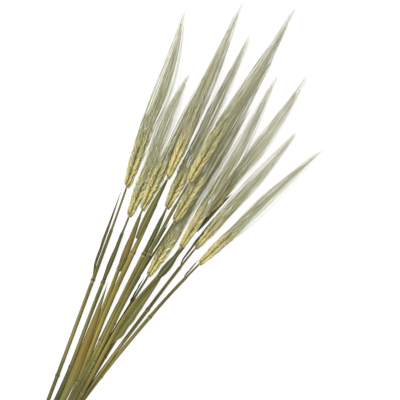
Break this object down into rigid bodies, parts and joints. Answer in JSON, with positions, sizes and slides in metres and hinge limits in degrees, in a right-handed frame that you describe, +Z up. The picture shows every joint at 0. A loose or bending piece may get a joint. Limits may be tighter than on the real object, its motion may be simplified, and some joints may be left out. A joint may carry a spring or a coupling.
{
  "type": "dried barley bunch",
  "caption": "Loose bunch of dried barley lying flat: jointed straws gathered at their cut ends, fanning out to bearded six-rowed ears with long awns and a few dry blades.",
  "frame": {"origin": "on the flat spot under the straw in the middle of the gathered ends, at the surface the bunch lies on", "axes": "+Y along the bunch from the cut ends to the awn tips, +Z up from the surface, +X to the right seen from above with the ears away from the viewer"},
  "size_m": [0.209, 0.5488, 0.0415],
  "materials": {
    "straw": "dry olive straw, satin",
    "ear": "ripe pale gold husk, matt",
    "blade": "dry grey-green leaf, matt"
  },
  "bodies": {
    "root": {"straw_01": "straw", "straw_02": "straw", "straw_03": "straw", "straw_04": "straw", "straw_05": "straw", "straw_06": "straw", "straw_07": "straw", "straw_08": "straw", "straw_09": "straw", "straw_10": "straw", "straw_11": "straw", "straw_12": "straw", "ear_01": "ear", "ear_02": "ear", "ear_03": "ear", "ear_04": "ear", "ear_05": "ear", "ear_06": "ear", "ear_07": "ear", "ear_08": "ear", "ear_09": "ear", "ear_10": "ear", "ear_11": "ear", "ear_12": "ear", "leaf_01": "blade", "leaf_02": "blade", "leaf_03_low": "blade", "leaf_03_high": "blade", "leaf_04": "blade", "leaf_05": "blade", "leaf_06": "blade", "leaf_08": "blade", "leaf_09_low": "blade", "leaf_09_high": "blade", "leaf_10": "blade", "leaf_11": "blade", "leaf_12": "blade"}
  },
  "joints": []
}
